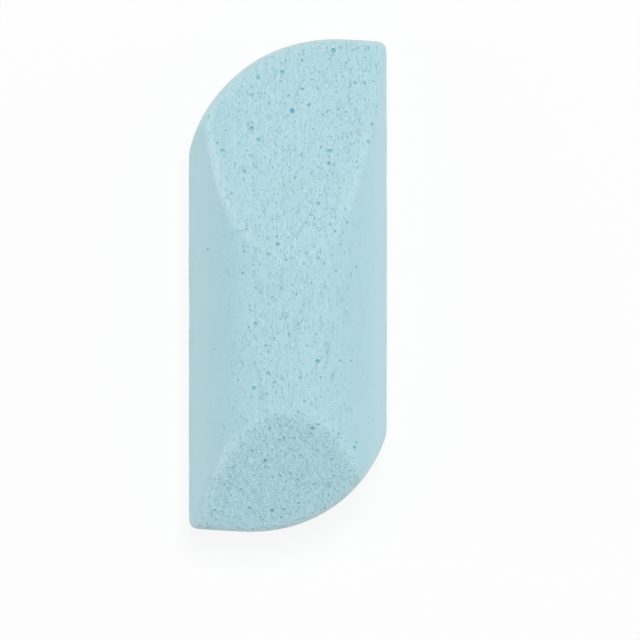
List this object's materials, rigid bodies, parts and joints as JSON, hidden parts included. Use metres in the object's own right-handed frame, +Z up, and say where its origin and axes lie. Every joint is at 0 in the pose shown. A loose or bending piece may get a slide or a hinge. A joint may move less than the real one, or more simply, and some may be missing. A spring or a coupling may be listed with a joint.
{
  "type": "pumice sponge",
  "caption": "Rigid foam foot sponge: an S-shaped block with a crowned front, a long and a short bevel, and a flat back.",
  "frame": {"origin": "middle of the footprint, on the flat back that the block lies on", "axes": "+X across the block, +Y along it towards the end with the long bevel, +Z up from the back through the crowned front"},
  "size_m": [0.04, 0.0996, 0.025],
  "materials": {
    "foam": "matte"
  },
  "bodies": {
    "root": {"pumice_sponge": "foam"}
  },
  "joints": []
}
